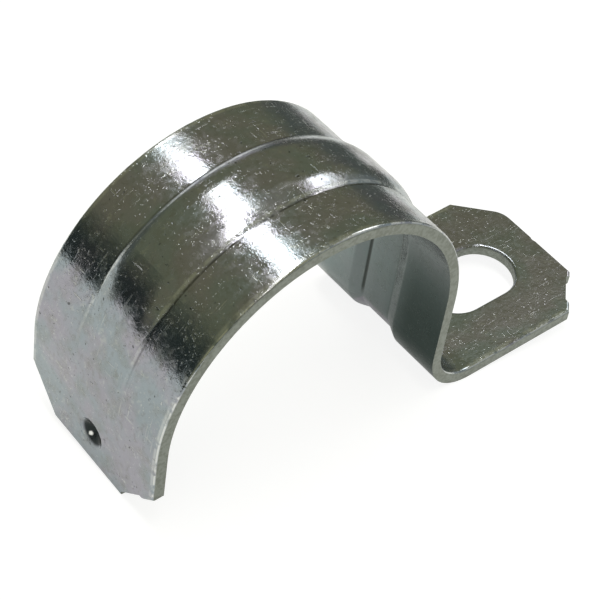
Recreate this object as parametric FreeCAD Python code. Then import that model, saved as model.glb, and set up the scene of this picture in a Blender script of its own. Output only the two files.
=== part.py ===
import FreeCAD, Part
import math
import os

# One-hole conduit strap, pressed from a single strip of zinc-plated steel.
#
# The origin is on the conduit's axis, midway across the strap.  X points from the conduit
# towards the screw tab, Y runs along the conduit, and Z points away from the wall.
# "Outer" is the side of the strip away from the conduit, which on the tab is its top.
# "Front" is the side towards -Y.

# Driving dimensions, in millimetres and degrees.
conduit_diameter = 38.35       # steel tube of trade size 1 1/4
seat_clearance = 0.2           # radial gap between the tube and the strap
sheet = 1.5                    # thickness of the strip
width = 22.2                   # width of the strip, along the conduit
free_leg_drop = 10.4           # the free end, below the conduit's axis
tab_drop = 16.8                # the tab's underside, below the conduit's axis
tab_reach = 48.2               # the tab's end edge, from the conduit's axis
bend_radius = 6.0              # inside radius where the leg turns into the tab
edge_roll = 0.35               # rounding that the blanking die leaves on the outer edges

# Cropped ends of the strip.
corner_crop = 4.9              # each corner loses this much along both edges
free_end_turn = 3.8            # the free end is cropped this many degrees out of square
free_end_shift = 0.35          # and this far off the strip's middle
back_corner_radius = 3.0       # the tab's one rounded corner
crop_step = 0.5                # depth of the step left in the two front corners
tab_step_margins = (1.4, 0.7)  # crop left standing beside the tab's step: side, end
leg_step_margins = (1.9, 0.0)  # and beside the free leg's step
end_nick_radius = 0.6          # small nick in the tab's end edge
end_nick_depth = 0.3
end_nick_offset = 0.5          # the nick, from the strip's middle

# Stiffening bead, pressed outwards along the middle of the strip.
bead_height = 0.75
bead_top = 3.6                 # width of the bead's flat top
bead_shoulder = 4.5            # radius from its top down each flank
bead_flank_slope = 27.0
bead_root = 0.5                # hollow radius where it rises from the strip
groove_floor = 4.5             # width of the groove's flat floor
groove_corner = 0.3            # radius along the edges of that floor
groove_flank_slope = 24.0
groove_mouth = 1.0             # radius where the groove opens into the seat
bead_foot_slope = 8.0          # slope that a flank still has where it meets the sheet
leg_fade_start = 42.0          # angle past the arch's top where the bead starts to sink
leg_fade = 31.0                # angle in which it sinks towards the free leg
bend_full = 38.0               # angle of the bend that the bead rounds at its full height
bend_fade = 50.0               # angle of the bend in which it then sinks

# Screw slot in the tab.
slot_width = 8.5
slot_travel = 4.9              # distance between the centres of its two round ends
slot_place = 0.44              # its centre, as a share of the tab's flat length
slot_roll = 0.4                # rounding of the slot's upper edge

# Retaining dimple near the free end, a hollow outside and a bump inside.
dimple_from_end = 4.05         # its centre, above the free end
hollow_radius = 2.0
hollow_depth = 1.2
hollow_tip = 0.6
hollow_lip = 0.3
bump_radius = 1.8
bump_height = 0.9
bump_tip = 1.1

# Sizes that follow from these.
seat_radius = conduit_diameter / 2 + seat_clearance
arch_radius = seat_radius + sheet
bend_outside = bend_radius + sheet
bend_x = seat_radius + bend_outside
bend_z = bend_outside - tab_drop
tab_top = sheet - tab_drop
slot_centre = bend_x + slot_place * (tab_reach - bend_x)
shoulder = width / 2 - corner_crop
dimple_z = dimple_from_end - free_leg_drop
band_end = 90 + leg_fade_start + 0.9 * leg_fade
overlap = 0.3                  # how far a tool starts behind the face that it works on
clear = 10.0                   # how far a tool runs past the strip
tolerance = 0.001


def at(x, y, z):
    return FreeCAD.Vector(x, y, z)


origin = at(0, 0, 0)
bend_axis = at(bend_x, 0, bend_z)
over_the_arch = at(0, -1, 0)   # turning about this, +X goes to +Z


def line(a, b):
    return Part.LineSegment(a, b).toShape()


def arc(a, b, c):
    return Part.Arc(a, b, c).toShape()


def outline_face(points):
    return Part.Face(Part.makePolygon(points + points[:1]))


def polar(centre, radius, angle):
    """The point of the profile at an angle, from +X towards +Z, about a centre."""
    turn = math.radians(angle)
    return centre + at(radius * math.cos(turn), 0, radius * math.sin(turn))


def profile_arc(centre, radius, start, end):
    middle = polar(centre, radius, (start + end) / 2)
    return arc(polar(centre, radius, start), middle, polar(centre, radius, end))


# The strip

def strip_side(radius, bend, tab_z):
    """One side of the folded strip in profile, with both of its ends still too long.

    The arch is two arcs, so that the two bands beside the bead have faces of their own.
    """
    return [
        line(at(-radius, 0, -free_leg_drop - clear), at(-radius, 0, 0)),
        profile_arc(origin, radius, 180, band_end),
        profile_arc(origin, radius, band_end, 0),
        line(at(radius, 0, 0), at(radius, 0, bend_z)),
        profile_arc(bend_axis, bend, 180, 270),
        line(at(bend_x, 0, tab_z), at(tab_reach + clear, 0, tab_z)),
    ]


def folded_strip():
    """The strip bent over the conduit and out along the wall."""
    inner = strip_side(seat_radius, bend_outside, -tab_drop)
    outer = strip_side(arch_radius, bend_radius, tab_top)
    ends = [
        line(inner[0].Vertexes[0].Point, outer[0].Vertexes[0].Point),
        line(inner[-1].Vertexes[-1].Point, outer[-1].Vertexes[-1].Point),
    ]
    profile = Part.Face(Part.Wire(Part.__sortEdges__(inner + outer + ends)))
    profile.translate(at(0, -width / 2, 0))
    return profile.extrude(at(0, width, 0))


# The cropped ends.  Their tools are drawn with the strip's end at X = 0 and its metal
# on the -X side, and then placed at the tab's end or at the free leg's.

def end_crop():
    """All that lies beyond an end and its two cropped corners."""
    side = width / 2 + clear
    corners = [
        at(shoulder - side, -side, 0),
        at(0, -shoulder, 0),
        at(0, shoulder, 0),
        at(shoulder - side, side, 0),
        at(2 * clear, side, 0),
        at(2 * clear, -side, 0),
    ]
    return outline_face(corners).extrude(at(0, 0, 2 * clear))


def corner_step(side_margin, end_margin):
    """The shallow step in an end's front corner, between the crop left beside it."""
    along = at(1, 1, 0).normalize()
    into = at(-1, 1, 0).normalize()
    first = at(-corner_crop, -width / 2, 0) + along * side_margin
    last = at(0, -shoulder, 0) - along * end_margin
    corners = [
        first - into * overlap,
        first,
        first + (into + along) * crop_step,
        last + (into - along) * crop_step,
        last,
        last - into * overlap,
    ]
    return outline_face(corners).extrude(at(0, 0, 2 * clear))


def at_tab_end(tool):
    tool.translate(at(tab_reach, 0, -tab_drop - clear))
    return tool


def at_free_end(tool):
    tool.rotate(origin, at(0, 1, 0), 90)
    tool.rotate(origin, at(1, 0, 0), free_end_turn)
    tool.translate(at(-arch_radius - clear, free_end_shift, -free_leg_drop))
    return tool


def back_corner_edges(strip):
    """The edge through the sheet at the tab's back corner."""
    chosen = []
    for edge in strip.Edges:
        ends = [vertex.Point for vertex in edge.Vertexes]
        offsets = [abs(p.x - tab_reach) + abs(p.y - shoulder) for p in ends]
        if max(offsets) < tolerance:
            chosen.append(edge)
    return chosen


# The rounding along the outer edges

def height_over_outer_side(point):
    """How far a point of the profile lies from the strip's outer side."""
    x, z = point.x, point.z
    if x > bend_x:
        return z - tab_top
    if z > 0:
        return math.hypot(x, z) - arch_radius
    if x < 0:
        return -x - arch_radius
    if z > bend_z:
        return x - arch_radius
    return bend_radius - math.hypot(x - bend_x, z - bend_z)


def is_outer(face):
    first_u, last_u, first_v, last_v = face.ParameterRange
    middle = face.valueAt((first_u + last_u) / 2, (first_v + last_v) / 2)
    return abs(height_over_outer_side(middle)) < tolerance


def outer_edges(strip):
    """The edges round the strip's outer side, where it meets the sheared sides and ends."""
    chosen = []
    for edge in strip.Edges:
        sides = [is_outer(face) for face in strip.ancestorsOfType(edge, Part.Face)]
        if sides.count(True) == 1:
            chosen.append(edge)
    return chosen


# The stiffening bead.  Its section is drawn across the strip at the foot of the arch,
# with X as the distance from the conduit's axis.

def flank_arcs(top, shoulder, slope, root):
    """The centre, radius and slopes of the two arcs at the ends of a straight flank."""
    steepest = math.radians(slope)
    foot = math.radians(bead_foot_slope)
    shoulder_z = bead_height - shoulder
    root_z = root * math.cos(foot)
    rise = shoulder_z + (shoulder + root) * math.cos(steepest) - root_z
    root_y = top / 2 + (shoulder + root) * math.sin(steepest) + rise / math.tan(steepest)
    return [
        (top / 2, shoulder_z, shoulder, (0, steepest / 2, steepest)),
        (root_y, root_z, -root, (steepest, (steepest + foot) / 2, foot)),
    ]


def bead_section(base, flank):
    """The bead's section above one side of the sheet, closed just behind that side."""
    def point(y, height, side):
        return at(base + height, side * y, 0)

    edges = []
    tops = []
    bottoms = []
    spread = overlap / math.tan(math.radians(bead_foot_slope))
    for side in (-1, 1):
        ends = []
        for y, height, radius, slopes in flank:
            on_arc = [
                point(y + radius * math.sin(s), height + radius * math.cos(s), side)
                for s in slopes
            ]
            edges.append(arc(*on_arc))
            ends += [on_arc[0], on_arc[-1]]
        top, flank_top, flank_foot, foot = ends
        bottom = foot + at(-overlap, side * spread, 0)
        edges.append(line(flank_top, flank_foot))
        edges.append(line(foot, bottom))
        tops.append(top)
        bottoms.append(bottom)
    edges.append(line(*tops))
    edges.append(line(*bottoms))
    return Part.Face(Part.Wire(Part.__sortEdges__(edges)))


def outer_section():
    flank = flank_arcs(bead_top, bead_shoulder, bead_flank_slope, bead_root)
    return bead_section(arch_radius, flank)


def groove_section():
    flank = flank_arcs(groove_floor, groove_corner, groove_flank_slope, groove_mouth)
    return bead_section(seat_radius, flank)


def sinking_axis_in_arch():
    """How far off the conduit's axis the bead must turn to sink into the arch."""
    crown = arch_radius + bead_height
    rise = crown - arch_radius * math.cos(math.radians(leg_fade))
    return (crown ** 2 - arch_radius ** 2) / (2 * rise)


def sinking_axis_in_bend():
    """How far off the bend's axis the bead must turn to sink into the bend."""
    crown = bend_radius - bead_height
    rise = crown - bend_radius * math.cos(math.radians(bend_fade))
    return (bend_radius ** 2 - crown ** 2) / (2 * rise)


def swept_bead(section):
    """The section carried from the arch's far side over its top and down into the bend."""
    fade_turn = 90 + leg_fade_start
    leg_section = section.copy()
    leg_section.rotate(origin, over_the_arch, fade_turn)
    leg_axis = polar(origin, sinking_axis_in_arch(), fade_turn)

    wall_foot = section.copy()
    wall_foot.translate(at(0, 0, bend_z))
    bend_section = wall_foot.copy()
    bend_section.rotate(bend_axis, over_the_arch, bend_full)
    tab_axis = polar(bend_axis, sinking_axis_in_bend(), bend_full)

    pieces = [
        leg_section.revolve(leg_axis, over_the_arch, 1.3 * leg_fade),
        section.revolve(origin, over_the_arch, fade_turn),
        section.extrude(at(0, 0, bend_z)),
        wall_foot.revolve(bend_axis, over_the_arch, bend_full),
        bend_section.revolve(tab_axis, over_the_arch, bend_fade),
    ]
    return pieces[0].multiFuse(pieces[1:])


# The screw slot

def slot_tool():
    half = slot_travel / 2
    radius = slot_width / 2
    corners = [at(-half, radius, 0), at(half, radius, 0), at(half, -radius, 0), at(-half, -radius, 0)]
    edges = [
        line(corners[0], corners[1]),
        arc(corners[1], at(half + radius, 0, 0), corners[2]),
        line(corners[2], corners[3]),
        arc(corners[3], at(-half - radius, 0, 0), corners[0]),
    ]
    face = Part.Face(Part.Wire(edges))
    face.translate(at(slot_centre, 0, -tab_drop - clear))
    return face.extrude(at(0, 0, 2 * clear))


def slot_rim(strap):
    """The slot's upper edges, which all lie as far from its middle as its walls do."""
    chosen = []
    for edge in strap.Edges:
        middle = edge.valueAt((edge.FirstParameter + edge.LastParameter) / 2)
        run = max(abs(middle.x - slot_centre) - slot_travel / 2, 0)
        from_spine = math.hypot(run, middle.y)
        on_top = abs(middle.z - tab_top) < tolerance
        if on_top and abs(from_spine - slot_width / 2) < tolerance:
            chosen.append(edge)
    return chosen


# The retaining dimple.  Both of its tools are cones with a rounded tip, drawn about an
# axis along X: "back" is how far the tool starts behind its mouth.

def rounded_cone(mouth_x, mouth_radius, depth, tip, back):
    """A cone that narrows towards +X from its mouth and ends in a ball."""
    ball = depth - tip
    slope = math.atan2(ball, mouth_radius) + math.asin(tip / math.hypot(mouth_radius, ball))
    touch = at(ball + tip * math.cos(slope), 0, tip * math.sin(slope))
    half_way = at(ball + tip * math.cos(slope / 2), 0, tip * math.sin(slope / 2))
    rear = at(-back, 0, mouth_radius + back / math.tan(slope))
    edges = [
        line(at(-back, 0, 0), rear),
        line(rear, touch),
        arc(touch, half_way, at(depth, 0, 0)),
        line(at(depth, 0, 0), at(-back, 0, 0)),
    ]
    profile = Part.Face(Part.Wire(edges))
    profile.translate(at(mouth_x, 0, dimple_z))
    return profile.revolve(at(0, 0, dimple_z), at(1, 0, 0), 360)


def hollow_mouth(strap):
    """The dimple's outer edge."""
    chosen = []
    for edge in strap.Edges:
        box = edge.BoundBox
        flat = box.XLength < tolerance and abs(box.XMin + arch_radius) < tolerance
        size = abs(box.ZLength - 2 * hollow_radius)
        if flat and size < tolerance and abs(box.Center.y) < tolerance:
            chosen.append(edge)
    return chosen


# The strap

def blank():
    """The folded strip with its ends cropped and its outer edges rounded."""
    strip = folded_strip()
    strip = strip.cut(at_tab_end(end_crop()))
    strip = strip.cut(at_free_end(end_crop()))
    strip = strip.makeFillet(back_corner_radius, back_corner_edges(strip))
    return strip.makeFillet(edge_roll, outer_edges(strip))


def end_nick():
    nick = Part.makeCylinder(end_nick_radius, 2 * clear)
    nick.translate(at(end_nick_radius - end_nick_depth, end_nick_offset, 0))
    return nick


def beaded(strap):
    strap = strap.fuse(swept_bead(outer_section()))
    return strap.cut(swept_bead(groove_section()))


def slotted(strap):
    strap = strap.cut(slot_tool())
    return strap.makeFillet(slot_roll, slot_rim(strap))


def dimpled(strap):
    bump = rounded_cone(-seat_radius, bump_radius, bump_height, bump_tip, overlap)
    hollow = rounded_cone(-arch_radius, hollow_radius, hollow_depth, hollow_tip, overlap)
    strap = strap.fuse(bump).cut(hollow)
    return strap.makeFillet(hollow_lip, hollow_mouth(strap))


strap = beaded(blank())
strap = slotted(strap)
strap = dimpled(strap)
strap = strap.cut(at_tab_end(corner_step(*tab_step_margins)))
strap = strap.cut(at_free_end(corner_step(*leg_step_margins)))
strap = strap.cut(at_tab_end(end_nick()))
strap = strap.Solids[0]

os.makedirs("parts", exist_ok=True)
strap.exportStep("parts/strap.step")
print("strap: valid", strap.isValid(), "volume", round(strap.Volume, 1), "mm3")
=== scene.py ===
import math

import bpy
from mathutils import Matrix, Vector


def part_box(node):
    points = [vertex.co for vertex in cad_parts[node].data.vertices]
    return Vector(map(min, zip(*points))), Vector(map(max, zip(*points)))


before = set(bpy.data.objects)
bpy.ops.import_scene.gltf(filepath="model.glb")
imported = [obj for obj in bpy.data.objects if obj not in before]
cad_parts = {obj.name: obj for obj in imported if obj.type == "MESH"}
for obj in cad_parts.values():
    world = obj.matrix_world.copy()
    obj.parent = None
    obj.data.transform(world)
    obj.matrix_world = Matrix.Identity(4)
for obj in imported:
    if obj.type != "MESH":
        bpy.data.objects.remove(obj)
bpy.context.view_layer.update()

LOW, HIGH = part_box("strap")

# The camera: where it stands, the way it looks, and its right-hand side.
CAMERA_PLACE = Vector((-0.10612, -0.10910, 0.16535))
CAMERA_LOOK = Vector((0.49408, 0.47458, -0.72847))
CAMERA_RIGHT = Vector((0.77094, -0.62649, 0.11474))
CAMERA_LENS = 123.2          # millimetres, on a 36 mm sensor
SENSOR = 36.0

# The strap's sheet, and the two places it stands on: the bend's outside and its free end.
SHEET = 0.0015
BEND_OUTSIDE = 0.0075
BEND_CENTRE = Vector((-LOW[0] - SHEET + BEND_OUTSIDE, 0.0, LOW[2] + BEND_OUTSIDE))
FREE_END = Vector((-0.0200, 0.0, -0.01081))

# The distance from the conduit's axis that parts the strap's inner face from its outer one.
PARTING = 0.0205

# Where the tab's and the leg's flat ends start along X.
TAB_START = 0.029
LEG_START = -0.012

# Lines along the strip: how far from its middle they lie, and how wide they are. They fade out
# between two heights, on the leg.
# The line in the bead's foot and the lines in the groove's corners are painted shade in those
# creases.
BEAD_FOOT = 0.00440
BEAD_FOOT_WIDTH = 0.00016
# A painted highlight line beside the bead's foot, where its steep edge catches the lamp.
BEAD_HIGHLIGHT = BEAD_FOOT - 0.00038
BEAD_HIGHLIGHT_WIDTH = 0.00024
BEAD_LINES_FADE = (0.003, 0.015)
GROOVE_CORNER = 0.00232
GROOVE_CORNER_WIDTH = 0.00030
GROOVE_LINES_FADE = (-0.011, -0.009)

# How wide the painted glint is on the rims beside the cut edges, and its soft inner side.
RIM_WIDTH = 0.0005
RIM_SOFTNESS = 0.0003

# Painted shade in the bore: how dark it is everywhere, what its front half adds, and what its lower
# front adds.
BORE_SHADE = 0.18
FRONT_HALF_SHADE = 0.22
LOW_FRONT_SHADE = 0.60

# The leg's dimple: its height, how far from its mouth and how deep its painted shade reaches, and
# the place of a painted glint on the lower wall of its hollow.
DIMPLE_HEIGHT = -0.00635
DIMPLE_REACH = 0.0022
DIMPLE_DEPTH = 0.00128
DIMPLE_GLINT_PLACE = (-0.02022, 0.00066, -0.00733)

# The table: from the strap's middle to its edges, and how brightly the camera and mirrors
# see it.
TABLE_REACH = 0.19
TABLE_PAINT = (0.8, 0.8, 0.8, 1)
TABLE_SHADED = (0.30, 0.30, 0.30, 1)
TABLE_SEEN_GLOW = 0.86
TABLE_MIRRORED_GLOW = 0.28
WHITE = (1, 1, 1, 1)

# The room, from the skirting to the ceiling.
WALLS_LOW = (0.14, 0.15, 0.13, 1)
WALLS_HIGH = (0.242, 0.245, 0.155, 1)
CEILING = (0.325, 0.333, 0.255, 1)

# What stands in the room: azimuth, elevation, the angles where its soft rim starts and ends,
# its strength and its colour.
FURNISHINGS = (
    (-60, 0, 12, 36, 1.0, (0.04, 0.05, 0.045, 1)),
    (125, 5, 25, 50, 1.0, (0.46, 0.48, 0.47, 1)),
    (18, -4, 8, 22, 1.0, (0.85, 0.87, 0.88, 1)),
    (60, 51, 2, 7.5, 0.6, (0.70, 0.71, 0.58, 1)),
)
BACKDROP = (18, -6, 6, 12)

# The lamps: name, place, size, turn in degrees and radiance.
LAMPS = (
    ("overhead", (-0.02, 0.08, 0.60), (0.11, 0.62), -12, 8.0),
    ("front", (-0.11, -0.56, 0.60), (0.12, 0.20), 0, 4.0),
    ("window", (0.76, 0.05, 0.60), (0.26, 0.42), 0, 3.0),
)

# Colours of the zinc and of what marks it.
TEAL_ZINC = (0.335, 0.38, 0.415, 1)
LILAC_ZINC = (0.385, 0.375, 0.43, 1)
OLIVE_CLOUD = (0.27, 0.275, 0.24, 1)
PALE_MOTTLE = (0.56, 0.58, 0.54, 1)
DARK_MOTTLE = (0.22, 0.22, 0.19, 1)
FLECK = (0.66, 0.68, 0.66, 1)
SCRATCH = (0.62, 0.63, 0.61, 1)
PIT = (0.07, 0.075, 0.07, 1)
# Painted shade in the bead's foot.
CREASE_PAINTED_SHADE = (0.06, 0.06, 0.05, 1)
# A painted highlight beside the bead's foot.
BEAD_PAINTED_HIGHLIGHT = (0.78, 0.80, 0.78, 1)
# A painted glint on the rolled rims.
RIM_PAINTED_GLINT = (0.80, 0.81, 0.79, 1)
# Painted shade in the bore: its colour over the whole bore, and the darker colour where the shade
# deepens.
BORE_SHADE_COLOUR = (0.285, 0.345, 0.335, 1)
DEEP_SHADE_COLOUR = (0.055, 0.078, 0.072, 1)
GROOVE_PAINTED_SHADE = (0.05, 0.055, 0.05, 1)
CUT_DARK = (0.235, 0.25, 0.22, 1)
CUT_PALE = (0.305, 0.325, 0.295, 1)
# Painted shade in the dimple's hollow, and a painted glint on its lower wall.
DIMPLE_PAINTED_SHADE = (0.02, 0.025, 0.025, 1)
DIMPLE_PAINTED_GLINT = (0.90, 0.91, 0.90, 1)

# Noises: scale in features per metre, detail and roughness.
WAVES = (230, 1, 0.4)
STAINS = (170, 3, 0.55)
CLUSTERS = (330, 3, 0.6)
CLOUDS = (420, 4, 0.6)
MOTTLE = (1300, 3, 0.6)
SMEARS = (1500, 2, 0.6)
PITS = (1700, 2, 0.5)
GRAIN = (2300, 3, 0.6)
SPECKLE = (2700, 2, 0.5)
RIM_GLINT_GAPS = (700, 2, 0.6)
BEAD_LINE_GAPS = (900, 2, 0.6)
GLINT_OUTLINE = (2500, 2, 0.5)
SCRATCHED_PLACES = (300, 2, 0.5)
SCRATCHES_ALONG = (5200, 1, 0.4)
SCRATCHES_ACROSS = (4300, 1, 0.4)

# Heights of the zinc's relief, in metres.
WAVE_HEIGHT = 0.00005
CLOUD_HEIGHT = 0.000022
GRAIN_HEIGHT = 0.0000035
MARK_HEIGHT = 0.000012

# Roughness of the zinc: bright, what clouds and smears add, and the cut steel's.
BRIGHT = 0.09
CLOUDED = 0.12
SMEARED = 0.09
CUT = 0.48


def add_camera():
    look = CAMERA_LOOK.normalized()
    right = (CAMERA_RIGHT - CAMERA_RIGHT.dot(look) * look).normalized()
    up = right.cross(look)
    data = bpy.data.cameras.new("camera")
    data.sensor_width = SENSOR
    data.lens = CAMERA_LENS
    data.clip_start = 0.01
    data.clip_end = 20.0
    camera = bpy.data.objects.new("camera", data)
    turn = Matrix((right, up, -look)).transposed().to_4x4()
    camera.matrix_world = Matrix.Translation(CAMERA_PLACE) @ turn
    bpy.context.scene.collection.objects.link(camera)
    bpy.context.scene.camera = camera


class Nodes:
    """A short way to build one material's or the world's nodes."""

    def __init__(self, tree):
        self.tree = tree
        tree.nodes.clear()

    def add(self, kind, inputs=None, **settings):
        node = self.tree.nodes.new(kind)
        for name, value in settings.items():
            setattr(node, name, value)
        for name, value in (inputs or {}).items():
            socket = node.inputs[name]
            if isinstance(value, bpy.types.NodeSocket):
                self.tree.links.new(value, socket)
            else:
                socket.default_value = value
        return node

    def math(self, operation, first, second=0.0):
        node = self.add("ShaderNodeMath", {0: first, 1: second}, operation=operation)
        return node.outputs[0]

    def product(self, first, *others):
        for other in others:
            first = self.math("MULTIPLY", first, other)
        return first

    def smooth(self, value, start, end):
        """0 up to start and 1 from end on, with a soft step between. It also runs downwards."""
        rises = start < end
        node = self.add("ShaderNodeMapRange", {
            "Value": value,
            "From Min": min(start, end),
            "From Max": max(start, end),
            "To Min": 0.0 if rises else 1.0,
            "To Max": 1.0 if rises else 0.0,
        }, interpolation_type="SMOOTHSTEP")
        return node.outputs["Result"]

    def mix(self, share, first, second):
        """Two colours mixed, with a share of the second."""
        node = self.add("ShaderNodeMix", {0: share, 6: first, 7: second}, data_type="RGBA")
        return node.outputs[2]

    def mixed(self, share, first, second):
        """The same for plain numbers."""
        rest = self.math("SUBTRACT", 1.0, share)
        return self.math("ADD", self.product(first, rest), self.product(share, second))

    def noise(self, place, scale, detail, roughness):
        node = self.add("ShaderNodeTexNoise", {
            "Vector": place, "Scale": scale, "Detail": detail, "Roughness": roughness})
        return node.outputs[0]

    def clustered(self, place, fine, share):
        """A fine noise that is stronger in some places than in others."""
        coarse = self.noise(place, *CLUSTERS)
        return self.math("ADD", self.noise(place, *fine), self.product(coarse, share))

    def stretched(self, place, factors):
        node = self.add("ShaderNodeVectorMath", {0: place, 1: factors}, operation="MULTIPLY")
        return node.outputs["Vector"]

    def distance(self, place, point):
        node = self.add("ShaderNodeVectorMath", {0: place, 1: point}, operation="DISTANCE")
        return node.outputs["Value"]

    def axes(self, vector):
        """The vector's x, y and z."""
        return self.add("ShaderNodeSeparateXYZ", {0: vector}).outputs

    def normal(self):
        """The x, y and z of the surface's normal."""
        return self.axes(self.add("ShaderNodeNewGeometry").outputs["Normal"])

    def bump(self, under, height, distance):
        inputs = {"Height": height, "Strength": 1.0, "Distance": distance}
        if under is not None:
            inputs["Normal"] = under
        return self.add("ShaderNodeBump", inputs).outputs["Normal"]

    def rays(self):
        """1 for rays from the camera, and 1 for rays that come by mirror or through glass."""
        path = self.add("ShaderNodeLightPath").outputs
        mirrored = self.math("MAXIMUM", path["Is Glossy Ray"], path["Is Transmission Ray"])
        return path["Is Camera Ray"], mirrored


def new_material(name):
    material = bpy.data.materials.new(name)
    material.use_nodes = True
    return material, Nodes(material.node_tree)


def table_paint():
    """White paint. The camera sees it white, with shadows, and mirrors see it a little brighter."""
    material, n = new_material("table_paint")
    seen, mirrored = n.rays()
    paint = n.add("ShaderNodeBsdfDiffuse", {"Color": TABLE_PAINT})
    shaded = n.add("ShaderNodeBsdfDiffuse", {"Color": TABLE_SHADED})
    base = n.add("ShaderNodeMixShader", {0: seen, 1: paint.outputs[0], 2: shaded.outputs[0]})
    level = n.math("ADD", n.product(seen, TABLE_SEEN_GLOW), n.product(mirrored, TABLE_MIRRORED_GLOW))
    glow = n.add("ShaderNodeEmission", {"Color": WHITE, "Strength": level})
    white = n.add("ShaderNodeAddShader", {0: base.outputs[0], 1: glow.outputs[0]})
    n.add("ShaderNodeOutputMaterial", {"Surface": white.outputs[0]})
    return material


def table_tilt():
    """The tilt of the plane that touches the bend from below and passes through the free end."""
    reach = BEND_CENTRE - FREE_END
    span = math.hypot(reach.x, reach.z)
    return math.asin(BEND_OUTSIDE / span) - math.atan2(reach.z, reach.x)


def add_table():
    tilt = table_tilt()
    along = Vector((math.cos(tilt), 0.0, -math.sin(tilt)))
    middle = FREE_END - FREE_END.x * along
    corners = [
        middle + along * a * TABLE_REACH + Vector((0, b * TABLE_REACH, 0))
        for a, b in ((-1, -1), (1, -1), (1, 1), (-1, 1))]
    mesh = bpy.data.meshes.new("table")
    mesh.from_pydata(corners, [], [(0, 1, 2, 3)])
    mesh.materials.append(table_paint())
    table = bpy.data.objects.new("table", mesh)
    bpy.context.scene.collection.objects.link(table)


def direction(azimuth, elevation):
    """A direction. Azimuth 0 is towards +Y and 90 towards +X."""
    a, e = math.radians(azimuth), math.radians(elevation)
    return Vector((math.sin(a) * math.cos(e), math.cos(a) * math.cos(e), math.sin(e)))


def patch(n, way, azimuth, elevation, inner, outer):
    """1 inside a round patch of the room and 0 outside it, with a soft rim."""
    middle = direction(azimuth, elevation)
    dot = n.add("ShaderNodeVectorMath", {0: way, 1: middle}, operation="DOT_PRODUCT")
    starts, ends = math.cos(math.radians(outer)), math.cos(math.radians(inner))
    return n.smooth(dot.outputs["Value"], starts, ends)


def room_colour(n, way):
    height = n.axes(way)["Z"]
    walls = n.mix(n.smooth(height, 0.05, 0.32), WALLS_LOW, WALLS_HIGH)
    room = n.mix(n.smooth(height, 0.75, 0.97), walls, CEILING)
    for azimuth, elevation, inner, outer, share, colour in FURNISHINGS:
        there = patch(n, way, azimuth, elevation, inner, outer)
        room = n.mix(n.product(there, share), room, colour)
    return room


def add_world():
    """A dim room with a pale backdrop behind the strap, and white where the camera sees it."""
    world = bpy.data.worlds.new("studio")
    world.use_nodes = True
    bpy.context.scene.world = world
    n = Nodes(world.node_tree)
    way = n.add("ShaderNodeTexCoord").outputs["Generated"]
    dim = n.add("ShaderNodeBackground", {"Color": room_colour(n, way), "Strength": 1.0})
    white = n.add("ShaderNodeBackground", {"Color": WHITE, "Strength": 1.0})
    seen, mirrored = n.rays()
    shown = n.math("MAXIMUM", seen, n.product(mirrored, patch(n, way, *BACKDROP)))
    mix = n.add("ShaderNodeMixShader", {0: shown, 1: dim.outputs[0], 2: white.outputs[0]})
    n.add("ShaderNodeOutputWorld", {"Surface": mix.outputs[0]})


def add_lamp(name, place, size, turn, radiance):
    """A soft lamp that faces the strap. Its first side lies across Y, turned by some degrees."""
    way = Vector(place).normalized()
    data = bpy.data.lights.new(name, "AREA")
    data.shape = "RECTANGLE"
    data.size, data.size_y = size
    data.energy = radiance * math.pi * size[0] * size[1]
    lamp = bpy.data.objects.new(name, data)
    lamp.location = place
    across = Vector((0, 1, 0)).cross(way).normalized()
    facing = Matrix((across, way.cross(across), way)).transposed()
    lamp.rotation_euler = (Matrix.Rotation(math.radians(turn), 3, way) @ facing).to_euler()
    bpy.context.scene.collection.objects.link(lamp)


def sheared_edges(n, place):
    """1 on the cut edges of the sheet, all round it and in the slot."""
    normal = n.normal()
    x = n.axes(place)["X"]
    side = n.smooth(n.math("ABSOLUTE", normal["Y"]), 0.80, 0.92)
    upright = n.smooth(n.math("ABSOLUTE", normal["Z"]), 0.6, 0.4)
    in_tab = n.smooth(x, TAB_START, TAB_START + 0.001)
    under = n.smooth(normal["Z"], -0.8, -0.92)
    in_leg = n.smooth(x, LEG_START, LEG_START - 0.002)
    ends = n.math("MAXIMUM", n.product(upright, in_tab), n.product(under, in_leg))
    return n.math("MAXIMUM", side, ends)


def rim_painted_glints(n, place):
    """1 along the rounded rims beside the cut edges, in dashes, where a painted highlight stands in
    for their glints.
    """
    side = n.math("ABSOLUTE", n.axes(place)["Y"])
    near = n.smooth(side, HIGH[1] - RIM_WIDTH - RIM_SOFTNESS, HIGH[1] - RIM_WIDTH)
    turned = n.math("ABSOLUTE", n.normal()["Y"])
    roll = n.product(n.smooth(turned, 0.2, 0.4), n.smooth(turned, 0.9, 0.7))
    beside = n.product(n.smooth(turned, 0.3, 0.1), 0.45)
    dashes = n.smooth(n.noise(place, *RIM_GLINT_GAPS), 0.38, 0.52)
    return n.product(near, n.math("MAXIMUM", roll, beside), dashes)


def radius(n, x, z):
    """The distance from the conduit's axis, or below it from the upright plane through it."""
    above = n.math("MAXIMUM", z, 0.0)
    return n.math("SQRT", n.math("ADD", n.product(x, x), n.product(above, above)))


def bore_painted_shade(n, place):
    """1 on the strap's inner face, and how much painted shade it gets there, most of all at its
    lower front.
    """
    x, y, z = n.axes(place)
    bore = n.smooth(radius(n, x, z), PARTING, PARTING - 0.0002)
    front_half = n.product(n.smooth(y, 0.004, 0.0), FRONT_HALF_SHADE)
    low_front = n.product(n.smooth(y, -0.0005, -0.0065), n.smooth(z, 0.012, -0.006), LOW_FRONT_SHADE)
    shade_share = n.math("ADD", n.math("ADD", BORE_SHADE, front_half), low_front)
    return bore, n.product(bore, shade_share)


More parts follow.
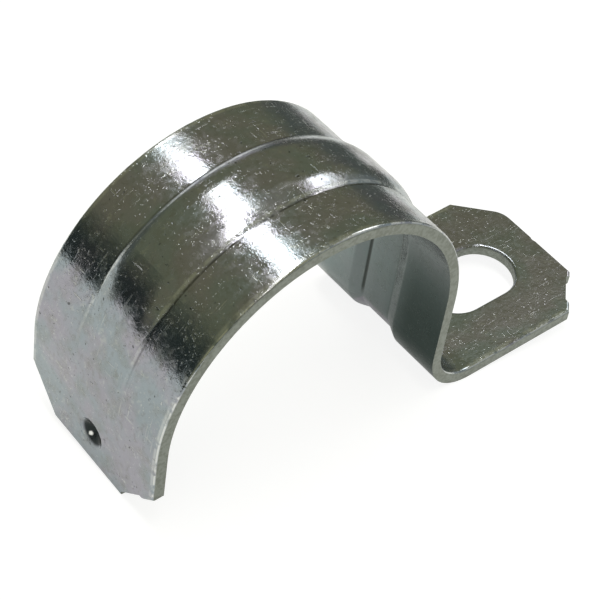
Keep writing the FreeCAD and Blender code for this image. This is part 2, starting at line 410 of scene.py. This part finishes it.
def fine_scratches(n, place):
    """Thin light scratches, most of them along the strip."""
    along = n.noise(n.stretched(place, (0.05, 1.0, 0.05)), *SCRATCHES_ALONG)
    across = n.noise(n.stretched(place, (1.0, 0.06, 0.7)), *SCRATCHES_ACROSS)
    lines = n.math("MAXIMUM", n.smooth(along, 0.68, 0.72), n.smooth(across, 0.72, 0.76))
    return n.product(lines, n.smooth(n.noise(place, *SCRATCHED_PLACES), 0.5, 0.6))


def dimple_painted_light(n, place):
    """How deep a place is in the dimple's hollow, which gets painted shade, and a painted glint on
    its wall.
    """
    from_mouth = n.distance(place, (LOW[0], 0.0, DIMPLE_HEIGHT))
    depth = n.math("SUBTRACT", n.axes(place)["X"], LOW[0])
    hollow = n.product(
        n.smooth(depth, 0.00012, 0.00038),
        n.smooth(from_mouth, DIMPLE_REACH + 0.0002, DIMPLE_REACH),
        n.smooth(depth, DIMPLE_DEPTH + 0.0001, DIMPLE_DEPTH))
    uneven = n.product(n.noise(place, *GLINT_OUTLINE), 0.0003)
    from_glint = n.math("ADD", n.distance(place, DIMPLE_GLINT_PLACE), uneven)
    return hollow, n.smooth(from_glint, 0.00052, 0.00032)


def line_along(n, y, from_middle, width):
    """1 on two thin lines along the strip, as far from its middle on either side."""
    off = n.math("ABSOLUTE", n.math("SUBTRACT", n.math("ABSOLUTE", y), from_middle))
    return n.smooth(off, width, width / 3)


def bead_lines(n, place):
    """Painted shade in the bead's foot and in the groove's corners, and a painted highlight line
    beside it.
    """
    x, y, z = n.axes(place)
    from_axis = radius(n, x, z)
    back = n.smooth(y, -0.001, 0.001)
    broken = n.smooth(n.noise(place, *BEAD_LINE_GAPS), 0.30, 0.50)
    outer = n.smooth(from_axis, PARTING - 0.0005, PARTING - 0.0002)
    inner = n.smooth(from_axis, PARTING + 0.0001, PARTING - 0.0001)
    outside = n.product(outer, n.smooth(z, *BEAD_LINES_FADE), broken)
    inside = n.product(inner, n.smooth(z, *GROOVE_LINES_FADE))
    front_weight = n.mixed(back, 1.0, 0.5)
    foot = n.product(line_along(n, y, BEAD_FOOT, BEAD_FOOT_WIDTH), outside, front_weight)
    corner = line_along(n, y, GROOVE_CORNER, GROOVE_CORNER_WIDTH)
    corner = n.product(corner, inside, n.mixed(back, 0.2, 1.0))
    # A painted highlight line, strongest at the bead's back edge.
    highlight_line = line_along(n, y, BEAD_HIGHLIGHT, BEAD_HIGHLIGHT_WIDTH)
    highlight_line = n.product(highlight_line, outside, n.mixed(front_weight, 1.3, 0.6))
    return n.math("MAXIMUM", foot, corner), highlight_line


def zinc_plate():
    """Bright zinc on rolled steel: mirror-like, finely pitted, scratched, and dull where sheared."""
    material, n = new_material("zinc_plated_steel")
    place = n.add("ShaderNodeTexCoord").outputs["Object"]
    sheared = sheared_edges(n, place)
    clouds = n.noise(place, *CLOUDS)
    grain = n.noise(place, *GRAIN)
    pits = n.smooth(n.noise(place, *PITS), 0.31, 0.26)
    flecks = n.smooth(n.clustered(place, SPECKLE, 0.35), 0.83, 0.90)
    scratches = n.product(fine_scratches(n, place), n.math("SUBTRACT", 1.0, sheared))
    marks = n.math("ADD", flecks, n.math("SUBTRACT", scratches, pits))

    tone = zinc_stains(n, place, clouds)
    for share, colour in (
            (n.product(flecks, 0.45), FLECK),
            (n.product(scratches, 0.5), SCRATCH),
            (n.product(pits, 0.75), PIT)):
        tone = n.mix(share, tone, colour)
    tone = painted_light_marks(n, place, tone)
    tone = n.mix(sheared, tone, n.mix(n.smooth(grain, 0.38, 0.60), CUT_DARK, CUT_PALE))
    hollow, glint = dimple_painted_light(n, place)
    # Painted shade in the dimple's hollow, and a painted glint on its lower wall.
    tone = n.mix(n.product(hollow, 0.95), tone, DIMPLE_PAINTED_SHADE)
    tone = n.mix(glint, tone, DIMPLE_PAINTED_GLINT)

    shader = n.add("ShaderNodeBsdfPrincipled", {
        "Base Color": tone,
        "Metallic": 1.0,
        "Roughness": zinc_gloss(n, place, clouds, sheared),
        "Normal": zinc_relief(n, place, clouds, grain, marks)})
    n.add("ShaderNodeOutputMaterial", {"Surface": shader.outputs[0]})
    return material


def zinc_stains(n, place, clouds):
    """The zinc's soft changes of colour, with no marks on it."""
    tone = n.mix(n.smooth(n.noise(place, *STAINS), 0.38, 0.62), TEAL_ZINC, LILAC_ZINC)
    mottle = n.clustered(place, MOTTLE, 0.25)
    tone = n.mix(n.product(n.smooth(clouds, 0.45, 0.68), 0.35), tone, OLIVE_CLOUD)
    tone = n.mix(n.product(n.smooth(mottle, 0.70, 0.84), 0.30), tone, PALE_MOTTLE)
    return n.mix(n.product(n.smooth(mottle, 0.56, 0.44), 0.30), tone, DARK_MOTTLE)


def painted_light_marks(n, place, tone):
    """Painted shade and highlights: by the bead, on the rims and in the bore, over the tone."""
    crease_shade, highlight_line = bead_lines(n, place)
    bore, shade_share = bore_painted_shade(n, place)
    # Painted shade in the bead's foot, a painted highlight beside it, painted glints on the rims,
    # and painted shade in the bore and in the groove's corners.
    for share, colour in (
            (n.product(crease_shade, 0.7), CREASE_PAINTED_SHADE),
            (n.product(highlight_line, 0.7), BEAD_PAINTED_HIGHLIGHT),
            (n.product(rim_painted_glints(n, place), 0.8), RIM_PAINTED_GLINT),
            (n.product(bore, 0.7), BORE_SHADE_COLOUR),
            (shade_share, DEEP_SHADE_COLOUR),
            (n.product(bore, crease_shade, 0.8), GROOVE_PAINTED_SHADE)):
        tone = n.mix(share, tone, colour)
    return tone


def zinc_gloss(n, place, clouds, sheared):
    clouded = n.product(n.smooth(clouds, 0.35, 0.65), CLOUDED)
    smeared = n.product(n.smooth(n.noise(place, *SMEARS), 0.48, 0.62), SMEARED)
    return n.mixed(sheared, n.math("ADD", n.math("ADD", BRIGHT, clouded), smeared), CUT)


def zinc_relief(n, place, clouds, grain, marks):
    relief = n.bump(None, n.noise(place, *WAVES), WAVE_HEIGHT)
    relief = n.bump(relief, clouds, CLOUD_HEIGHT)
    relief = n.bump(relief, n.smooth(grain, 0.40, 0.60), GRAIN_HEIGHT)
    return n.bump(relief, marks, MARK_HEIGHT)


add_camera()
add_table()
add_world()
for lamp in LAMPS:
    add_lamp(*lamp)

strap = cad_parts["strap"]
strap.data.materials.clear()
strap.data.materials.append(zinc_plate())
bpy.context.scene.view_settings.view_transform = "Standard"
